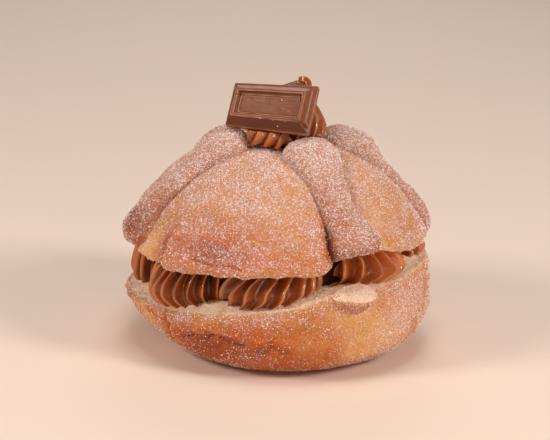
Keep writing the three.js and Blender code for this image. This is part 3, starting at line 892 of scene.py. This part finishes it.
# piped drops: azimuth, number of ridges, how far out its axis stands, radius, turn in degrees at foot,
# bulge and neck, and where its ridges start; then how wet it looks, how much darker it is all over
# (painted shade; painted light where below 0), how dark its grooves get towards the top (painted
# shade), and how light they are all the way up (painted light)
dropKeys = ("azimuth", "ridges", "ring", "radius", "turns", "phase", "wet", "dark", "shade", "light")
drops = [dict(zip(dropKeys, row)) for row in [
    (176, 16, 40, 17.5, (-6, 0, 8), 0, 0.2, 0.9, 1, 0),
    (222, 20, 40.5, 18, (18, 0, 18), 3, 0.6, 0, 1, 0),
    (266, 17, 37.5, 20, (-20, 0, 24), -2, 1.3, 0, 0.9, 0.1),
    (320, 14, 40.3, 17, (-40, 0, -18), 5, 1.5, -0.6, 0.1, 0.72),
    (-2, 15, 42.5, 14.5, (-8, 0, 6), 0, 1.1, 0, 1, 0),
    (46, 16, 38.5, 18, (-18, 0, 10), 4, 0.6, 0, 1, 0),
    (92, 16, 38.5, 17.5, (10, 0, -8), 9, 0.6, 0, 1, 0),
    (134, 16, 38.5, 17.5, (-12, 0, 12), 2, 0.6, 0, 1, 0),
]]
piping = {
    "depth": 5.2,  # of the grooves at the foot, where a drop has as many ridges as ridgesFor says
    "deepest": 8.0,
    "ridgesFor": 14,
    "foot": 0.78,
    "neck": 0.76,
    "bulgeAt": 0.38,
    "sharp": 0.8,
    "perRidge": 14,  # corners for each ridge
    "core": 41.0,
}


# 0 on each ridge round a circle and 1 between two: |sin(ridges a / 2)|^power
def valleys(a, ridges, power):
    return np.abs(np.sin(ridges / 2 * a)) ** power


# what the cream's material reads, each spread over the whole skin
def creamValues(crest, height, wet, beside):
    flat = 0 * crest
    return {"crest": crest, "height": height + flat, "wet": wet + flat, "beside": beside + flat}


# r = radius * shoulder * (1 - groove * valley), turned about the drop's own axis with the height
def dropSkin(drop, seed):
    ridges = drop["ridges"]
    t = np.linspace(0, 1, 54)[:, None]
    a = circle(ridges * piping["perRidge"])
    bulge = piping["bulgeAt"]
    below = clamp(1 - t / bulge)
    beyond = clamp((t - bulge) / (1 - bulge))
    low = mix(1, piping["foot"], below ** 2)
    high = mix(1, piping["neck"], beyond ** 1.8)
    foot, middle, neck = drop["turns"]
    twist = np.where(t < bulge, mix(middle, foot, below ** 1.9), mix(middle, neck, beyond ** 1.8)) * deg
    valley = valleys(a, ridges, piping["sharp"])
    wander = lumps(xyz(3 * np.cos(a), 3 * np.sin(a), 3 * t), 1.1, seed + 50)
    groove = mix(piping["depth"], piping["deepest"], smooth(0, 1, t))
    groove = groove * piping["ridgesFor"] / ridges / drop["radius"] * mix(0.6, 1, smooth(0, 0.22, t))
    heading = a + drop["azimuth"] * deg + twist + (drop["phase"] + 4.5 * wander) * deg
    cx = drop["ring"] * math.cos(drop["azimuth"] * deg)
    cy = drop["ring"] * math.sin(drop["azimuth"] * deg)
    sway = xyz(np.cos(heading) * 9 + cx, np.sin(heading) * 9 + cy, t * 14)
    r = drop["radius"] * low * high * (1 - groove * valley) + 0.35 * rough(sway, 7, seed)
    x = cx + r * np.cos(heading)
    y = cy + r * np.sin(heading)
    z = mix(lowerCut(x) - 0.6, upperCut(x, y) + 0.1, t)
    # painted light and shade: crest marks the ridges for the painted highlight and lifts the valleys by
    # the drop's light; beside darkens the sides towards neighbouring drops as painted shade
    crest = mix(drop["light"], 1, 1 - valley) + 0 * t
    beside = 1 - smooth(0.25, 0.8, np.cos(turnFrom(heading, drop["azimuth"] * deg)))
    wet = drop["wet"] * (0.8 + 0.5 * lumps(sway, 6, seed + 7))
    return closedSkin(xyz(x, y, z), creamValues(crest, t * drop["shade"], wet, beside + drop["dark"]))


# a plain round core that the drops stand against
def coreSkin():
    a = circle(96)
    t = np.linspace(0, 1, 6)[:, None]
    x = piping["core"] * np.cos(a)
    y = piping["core"] * np.sin(a)
    z = mix(lowerCut(x), upperCut(x, y), t)
    return closedSkin(xyz(x, y, z), creamValues(0 * z, 1, 0, 1))


# the darkest colour is painted shade in grooves, between drops and over the rosette; the crest colour
# is a painted highlight along the ridges
creamLook = {
    "cream": tint(152, 76, 30),
    "crest": tint(216, 126, 64),
    "deep": tint(50, 15, 2),
}


def creamFinish(name, shade):
    look = creamLook
    cream = Finish(name)
    crest = cream.attribute("crest")
    broad = cream.noise(7, 2.0, 0.5)
    fine = cream.noise(1.1, 3.0, 0.6)
    height = cream.attribute("height").between(0.25, 0.9)
    # painted shade: grooves darker towards the top, sides next to other drops darker, and a whole copy
    # darker by shade; painted highlight: lighter crest lines
    sunk = (1 - crest.between(0.0, 0.5)) * (height * 0.8 + 0.2)
    shaded = (broad - 0.5) * 0.5 + shade + sunk * 0.85 + cream.attribute("beside") * 0.45
    colour = cream.blend(shaded, look["cream"], look["deep"])
    colour = cream.blend(crest.between(0.55, 0.95) * 0.85, colour, look["crest"])
    distance, own = cream.cells(1.5, 2.2)
    speck = distance.between(0.24, 0.12) * own.between(0.86, 0.9)
    wet = cream.attribute("wet")
    glints = cream.noise(2.6, 2.0, 0.6).between(0.5, 0.62) * wet.between(0.1, 0.8)
    relief = cream.bump(fine, 0.12)
    relief = cream.bump(speck, -0.3, Normal=relief)
    return cream.shade({
        "Base Color": colour,
        "Roughness": 0.34 + (fine - 0.5) * 0.25 - glints * 0.16,
        "Coat Weight": wet * 0.5 + glints * 0.6,
        "Coat Roughness": 0.07,
        "Normal": relief,
        "Specular IOR Level": 0.5,
        "Subsurface Weight": 0.06,
        "Subsurface Radius": (0.004, 0.0018, 0.0008),
    })


cream = creamFinish("chocolate_cream", 0.0)
# the rosette's cream: the same cream with painted shade over all of it
shadedCream = creamFinish("rosette_cream_painted_shade", 0.22)
print("piping the cream")
fillingSkins = [dropSkin(drop, 100 + i) for i, drop in enumerate(drops)] + [coreSkin()]
makePiece("piped_filling", fillingSkins, cream, "cream_filling")

plate = {
    "length": 33.6,
    "width": 18.6,
    "back": 2.0,
    "frame": 3.4,  # height of the raised frame over the widest line
    "panel": 1.8,
    "insets": (2.3, 3.2, 3.2, 3.2),  # how far the frame lies in on the left, right, bottom and top
    "leanBack": 34.5,
    "roll": -2.3,
    "yaw": -21.5,
    "keystone": 0.06,  # how much taller its right end is
    "middle": (-4.3, -11.5, 93.6),
    "cornerSteps": 10,
    "sideSteps": 34,
}


# a turn about axis 0, 1 or 2: of the two other axes, the first goes towards the second
def turnAbout(axis, angle):
    first = (axis + 1) % 3
    second = (axis + 2) % 3
    matrix = np.eye(3)
    matrix[first, first] = matrix[second, second] = math.cos(angle * deg)
    matrix[second, first] = math.sin(angle * deg)
    matrix[first, second] = -math.sin(angle * deg)
    return matrix


# how the piece is turned: about X, then Y, then Z
def plateTurn():
    leaning = turnAbout(0, 90 - plate["leanBack"])
    return turnAbout(2, plate["yaw"]) @ turnAbout(1, plate["roll"]) @ leaning


# a rounded rectangle: quarter circles on the corners, straight runs between them
def plateRing(left, right, bottom, top, corner):
    east = plate["length"] / 2 - right - corner
    west = -plate["length"] / 2 + left + corner
    north = plate["width"] / 2 - top - corner
    south = -plate["width"] / 2 + bottom + corner
    arcs = []
    for k, middle in enumerate([(east, north), (west, north), (west, south), (east, south)]):
        a = (k + np.linspace(0, 1, plate["cornerSteps"])) * math.pi / 2
        arcs.append(np.stack([middle[0] + corner * np.cos(a), middle[1] + corner * np.sin(a)], -1))
    parts = []
    for k in range(4):
        run = np.linspace(0, 1, plate["sideSteps"])[1:-1, None]
        parts += [arcs[k], mix(arcs[k][-1], arcs[(k + 1) % 4][0], run)]
    return np.concatenate(parts)


# rings from the back up: flat back, square edge, a cove up to the frame, its rounded top, then the
# sunken panel with its thin raised line
def plateSkin():
    high = plate["frame"]
    rows = []
    edges = []

    # each ring also says how strongly it gets the painted highlight along the ridges and the raised
    # line
    def ring(share, extra, height, corner, cove=None, paintedHighlight=0.0):
        edges.append(paintedHighlight)
        flatRing = plateRing(*[inset * share + extra for inset in plate["insets"]], corner)
        if cove is not None:
            toRight = smooth(0.72, 0.98, flatRing[:, 0] / (plate["length"] / 2))
            toBottom = smooth(0.5, 0.85, -flatRing[:, 1] / (plate["width"] / 2))
            side = mix(high * cove ** 1.9, high * cove ** 4.5, toRight)
            height = mix(side, high * cove ** 1.05, toBottom)
        rows.append(np.column_stack([flatRing, np.broadcast_to(height, len(flatRing))]))

    for inner in (9.2, 6.0, 2.0):
        ring(0, inner, -plate["back"], 0.1)
    for a in np.linspace(0, math.pi / 2, 5):
        ring(0, 0.5 * (1 - math.sin(a)), -plate["back"] + 0.5 * (1 - math.cos(a)), 0.9)
    ring(0, 0, -0.7, 0.6)
    ring(0, 0, -0.05, 0.6, paintedHighlight=0.7)
    for t in np.linspace(0, 1, 14)[:-1]:
        ring(t, 0, 0, 0.6, cove=t, paintedHighlight=0.7 * (t < 0.05))
    for a in np.linspace(0, math.pi / 2, 5):
        height = high - 0.25 * (1 - math.sin(a))
        ring(1, 0.35 * (1 - math.cos(a)), height, 0.8, paintedHighlight=0.8 * math.sin(2 * a))
    for extra in (0.55, 0.85):
        ring(1, extra, high, 0.7)
    for a in np.linspace(0.2, 1, 6) * math.pi / 2:
        height = high - 0.3 * (1 - math.cos(a))
        ring(1, 0.95 + 0.3 * math.sin(a), height, 0.6, paintedHighlight=math.sin(2 * a))
    for t in (0.35, 0.7, 1.0):
        ring(1, 1.25 + 0.35 * t, mix(high - 0.3, plate["panel"], t), 0.55)
    ring(1, 1.75, plate["panel"] - 0.03, 0.5)
    ring(1, 1.95, plate["panel"], 0.9)
    for across in np.linspace(-1, 1, 7):  # the thin raised line
        risen = 1 - across ** 2
        ring(1, 2.2 + 0.24 * across, plate["panel"] + 0.26 * risen, 1.0, paintedHighlight=risen)
    for extra in (3.2, 3.8, 4.6):
        ring(1, extra, plate["panel"], 0.6)
    rings = np.array(rows)
    chips = 0.06 * rough(rings, 2.5, 91) + 0.03 * lumps(rings, 1.0, 94)
    rings[..., 2] += chips * (rings[..., 2] > -1)
    rings[..., :2] *= 1 + 0.004 * rough(rings, 6, 92)[..., None]
    rings[..., 1] *= 1 + plate["keystone"] * rings[..., 0] / (plate["length"] / 2)
    placed = rings @ plateTurn().T + np.array(plate["middle"])
    # painted shade: the bottom bevel, which faces down, gets a darker colour as if in shadow
    shadedFacingDown = smooth(5.2, 6.4, -rings[..., 1]) * smooth(0.1, 0.6, rings[..., 2])
    paintedHighlight = np.array(edges)[:, None] * clamp(0.7 + 0.8 * lumps(rings, 3, 95))
    return closedSkin(placed, {"under": shadedFacingDown, "paintedHighlight": paintedHighlight})


chocolateLook = {
    "milk": tint(130, 68, 34),
    "dark": tint(102, 48, 19),
    "bloom": tint(154, 104, 80),
    # under: the painted shade colour of the downward-facing bottom bevel
    "under": tint(86, 34, 2),
    # edge: the colour of the painted highlight along the ridges
    "edge": tint(206, 150, 122),
}


def chocolateFinish():
    look = chocolateLook
    chocolate = Finish("milk_chocolate")
    turned = {"Rotation": (0, 0, -plate["yaw"] * deg), "Scale": (1, 6, 12)}
    streakPlace = chocolate.node("ShaderNodeMapping", None, {"Vector": chocolate.place, **turned})
    streak = chocolate.noise(9, 3.0, 0.6, streakPlace)
    broad = chocolate.noise(5, 2.0, 0.5)
    fine = chocolate.noise(0.7, 2.0, 0.6)
    colour = chocolate.blend((broad - 0.5) * 0.7 + 0.3, look["milk"], look["dark"])
    bloomed = streak.between(0.35, 0.8) * 0.3 + (broad - 0.5) * 0.6 + 0.12
    colour = chocolate.blend(bloomed, colour, look["bloom"])
    # painted shade on the bottom bevel
    colour = chocolate.blend(chocolate.attribute("under") * 0.75, colour, look["under"])
    # painted highlight along the frame's ridges and the thin raised line
    colour = chocolate.blend(chocolate.attribute("paintedHighlight") * 0.8, colour, look["edge"])
    relief = chocolate.bump(streak + fine * 0.5, 0.05)
    return chocolate.shade({
        "Base Color": colour,
        "Roughness": 0.36 + (streak - 0.5) * 0.3,
        "Normal": relief,
        "Specular IOR Level": 0.33,
        "Subsurface Weight": 0.04,
        "Subsurface Radius": (0.003, 0.0014, 0.0007),
    })


print("moulding the chocolate piece")
plateSurface = plateSkin()
makePiece("moulded_chocolate", [plateSurface], chocolateFinish(), "chocolate_piece")
evenly = np.ones(len(plateSurface["points"]))
scatterSugar("sugar_on_chocolate", plateSurface, evenly, 40, "fineSize", 86, "chocolate_piece")

rosette = {
    "middle": (3.1, 0.8),
    "base": 76.5,
    "radius": 14.2,
    "height": 25.4,
    "ridges": 12,
    "low": 0.24,  # share of the radius that a groove cuts away at the foot, and at the top
    "high": 0.3,
    "swirl": 85.0,
    "peak": (8.0, 3.0),
    "curlFrom": (-13.4, -12.4, 83.2),  # the short ribbed end that lies under the chocolate piece
    "curlTo": (4.4, -14.9, 81.9),
    "curlRadius": 4.6,
    "curlPitch": 4.5,  # from one rib to the next
}


# keeps the cream behind the back of the chocolate piece, and lets it swell past its edges
def pressedByPlate(points):
    axes = plateTurn()
    local = (points - np.array(plate["middle"])) @ axes
    pastEnd = np.abs(local[..., 0]) - plate["length"] / 2
    pastSide = np.abs(local[..., 1]) - plate["width"] / 2
    outside = np.maximum(pastEnd, pastSide)
    limit = -plate["back"] - 0.05 + 9 * smooth(-0.2, 3.0, outside)
    local[..., 2] = np.minimum(local[..., 2], limit)
    return local @ axes.T + np.array(plate["middle"])


# a dollop from a star nozzle: r = radius * shoulder * (1 - groove * valley), wound up towards its tip
def dollopSkin():
    t = np.linspace(0, 0.985, 90)[:, None]
    a = circle(rosette["ridges"] * 16)
    foot = 1 - 0.22 * clamp(1 - t / 0.25) ** 2
    shoulder = (1 - clamp((t - 0.2) / 0.8) ** 2.5) ** 0.85
    valley = valleys(a, rosette["ridges"], 0.75)
    groove = mix(rosette["low"], rosette["high"], smooth(0.1, 0.8, t))
    wander = lumps(xyz(5 * t, a, 0), 0.7, 120)
    heading = a + rosette["swirl"] * deg * t ** 1.5 + 4 * deg * wander
    r = rosette["radius"] * foot * shoulder * (1 - groove * valley)
    bend = smooth(0.7, 1.0, t)
    x = mix(rosette["middle"][0], rosette["peak"][0], bend) - 2.4 * bell(t, 0.75, 0.25)
    y = mix(rosette["middle"][1], rosette["peak"][1], bend)
    z = rosette["base"] + rosette["height"] * t
    points = xyz(x + r * np.cos(heading), y + r * np.sin(heading), z)
    points = pressedByPlate(points + 0.2 * rough(points, 6, 121)[..., None])
    return closedSkin(points, creamValues(0.86 * (1 - valley) + 0 * t, 0.5, 0.8, 0.1))


# rings round a middle line: its places + r (first cos a + second sin a)
def tube(centre, r, first, second, a):
    return centre[:, None] + r[..., None] * (first * np.cos(a)[:, None] + second * np.sin(a)[:, None])


# the tip: a tapering tube whose middle line is a small hook
def tipSkin():
    t = np.linspace(0, 1, 40)
    a = circle(48)
    swing = mix(-0.2, 2.5, t)
    start = np.array([*rosette["peak"], rosette["base"] + rosette["height"] - 2.2])
    centre = start + xyz(np.cos(swing) - 1, -0.5 * t, np.sin(swing) + 0.3 * t)
    ahead = unit(np.gradient(centre, axis=0))
    side = unit(towardsFront - (ahead @ towardsFront)[:, None] * ahead)
    other = np.cross(ahead, side)
    valley = valleys(a, 5, 0.75)
    taper = np.interp(t, [0, 0.5, 1], [2.8, 2.3, 1.7]) * np.sqrt(clamp((1 - t) * 8))
    r = taper[:, None] * (1 - 0.2 * valley)
    points = tube(centre, r, other[:, None], side[:, None], a)
    # lightened all over as a painted highlight (beside below 0)
    return closedSkin(points, creamValues(1 - valley + 0 * r, 0.3, 0.9, -0.6))


# a straight tube along x with two ridges wound round it: each rib is widest at its left edge
# and narrows like a saw tooth to the next
def curlSkin():
    t = np.linspace(0, 1, 150)
    start = np.array(rosette["curlFrom"])
    end = np.array(rosette["curlTo"])
    centre = mix(start, end, t[:, None])
    centre[:, 2] += 0.5 * np.sin(math.pi * t) - 1.0 * smooth(0.75, 1.0, t)
    length = np.linalg.norm(end - start)
    a = circle(72)
    tooth = (t[:, None] * length / rosette["curlPitch"] + 0.35 - 2 * a / turn) % 1
    rib = smooth(0, 0.2, tooth) * (1 - 0.75 * tooth ** 2.4)
    thickness = np.interp(t, [0, 0.1, 0.7, 0.8, 0.9, 1], [0.7, 0.95, 1.0, 0.62, 0.45, 0.3])
    ends = np.sqrt(clamp(np.minimum(t * 12, (1 - t) * 14)))
    r = (rosette["curlRadius"] * thickness * ends)[:, None] * mix(0.66, 1, rib)
    points = tube(centre, r, towardsFront, upwards, a)
    points = pressedByPlate(points + 0.12 * rough(points, 3, 131)[..., None])
    # lightened as painted light, crests most, since it lies in shade
    return closedSkin(points, creamValues(0.1 + 0.75 * rib, 0.3, 0.8, -0.2))


print("piping the rosette")
rosetteSkins = [dollopSkin(), curlSkin(), tipSkin()]
makePiece("piped_rosette", rosetteSkins, shadedCream, "cream_rosette")


# soft round lamps: place in metres, size, power, colour, and how much each shows in gloss
lamps = {
    "left": ((-0.78, -0.45, 0.62), 0.32, 5.3, (1.0, 0.97, 0.96), 1.0),
    "right": ((0.78, -0.45, 0.62), 0.32, 5.9, (1.0, 0.97, 0.96), 1.0),
    "top": ((0.0, -0.1, 1.15), 0.5, 3.6, (1.0, 0.97, 0.97), 0.6),
    "front": ((0.35, -1.1, 0.2), 0.24, 1.6, (1.0, 0.9, 0.8), 0.4),
    "back": ((0.0, 1.0, 0.7), 0.6, 2.4, (1.0, 0.96, 0.94), 0.4),
}
worldLight = 0.14


def floorFinish():
    floor = Finish("pale_floor")
    tone = floor.blend(floor.noise(60) * 0.2, tint(242, 218, 198), tint(232, 218, 204))
    return floor.shade({"Base Color": tone, "Roughness": 0.8})


floorMesh = bpy.data.meshes.new("floor")
floorMesh.from_pydata([(-6, -6, 0), (6, -6, 0), (6, 6, 0), (-6, 6, 0)], [], [(0, 1, 2, 3)])
floorMesh.materials.append(floorFinish())
floor = addObject("floor", floorMesh)

for name, (place, size, power, colour, gloss) in lamps.items():
    light = bpy.data.lights.new("soft_" + name, "AREA")
    light.shape = "DISK"
    light.size = size
    light.energy = power
    light.color = colour
    light.specular_factor = gloss
    holder = addObject("soft_" + name, light)
    holder.location = place
    holder.rotation_mode = "QUATERNION"
    holder.rotation_quaternion = (Vector((0, 0, 0.05)) - holder.location).to_track_quat("-Z", "Y")

world = bpy.data.worlds.new("studio")
world.use_nodes = True
world.node_tree.nodes["Background"].inputs["Color"].default_value = tint(246, 238, 232)
world.node_tree.nodes["Background"].inputs["Strength"].default_value = worldLight
bpy.context.scene.world = world
bpy.context.scene.view_settings.view_transform = "Standard"

view = {
    "target": (-0.0015, 0.0, 0.0465),
    "distance": 0.75,
    "elevation": 16.0,
    "roll": 2.0,
    "lens": 127.0,
}
camera = addObject("camera", bpy.data.cameras.new("camera"))
camera.data.lens = view["lens"]
camera.data.sensor_width = 36
camera.data.clip_start = 0.01
camera.data.clip_end = 50
lookBack = Vector((0, -math.cos(view["elevation"] * deg), math.sin(view["elevation"] * deg)))
camera.location = Vector(view["target"]) + lookBack * view["distance"]
camera.rotation_mode = "QUATERNION"
aim = (-lookBack).to_track_quat("-Z", "Y")
camera.rotation_quaternion = aim @ Quaternion((0, 0, 1), view["roll"] * deg)
bpy.context.scene.camera = camera

print("scene ready")
